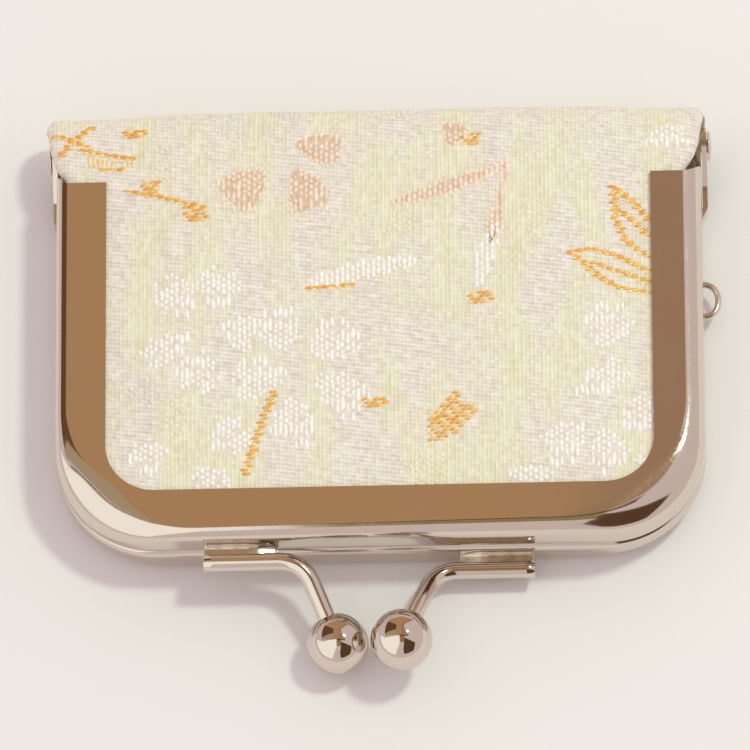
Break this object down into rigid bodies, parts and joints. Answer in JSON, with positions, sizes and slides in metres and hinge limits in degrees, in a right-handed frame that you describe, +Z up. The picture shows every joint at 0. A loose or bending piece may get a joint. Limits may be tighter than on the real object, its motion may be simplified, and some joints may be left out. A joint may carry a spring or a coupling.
{
  "type": "clasp pouch",
  "caption": "Small flat pouch of brocade cloth in two hinged U-shaped metal frames, closed by a ball clasp, with a wire strap loop.",
  "frame": {"origin": "middle of the underside, at the centre of the bounding box", "axes": "+X along the hinge to the strap loop's side, +Y towards the hinge, +Z up through the flat closed pouch"},
  "size_m": [0.0682, 0.0606, 0.0092],
  "materials": {
    "plated_frame": "polished nickel plate",
    "brocade": "woven brocade",
    "lining": "plain weave",
    "paper_cord": "twisted paper"
  },
  "bodies": {
    "lower_half": {"lower_frame": "plated_frame", "lower_cover": "brocade", "lower_lining": "lining", "lower_paper_cord": "paper_cord", "lower_clasp_wire": "plated_frame", "lower_clasp_ball": "plated_frame", "left_hinge_rivet": "plated_frame", "right_hinge_rivet": "plated_frame", "strap_loop": "plated_frame", "spine_cover": "brocade", "spine_lining": "lining"},
    "upper_half": {"upper_frame": "plated_frame", "upper_cover": "brocade", "upper_lining": "lining", "upper_paper_cord": "paper_cord", "upper_clasp_wire": "plated_frame", "upper_clasp_ball": "plated_frame"}
  },
  "joints": [
    {"name": "frame_hinge", "type": "hinge", "parent": "lower_half", "child": "upper_half", "pos_m": [0, 0.02585, 0.0046], "axis": [-1, 0, 0], "range_deg": [0, 90], "deforming": ["spine_cover", "spine_lining"]}
  ]
}
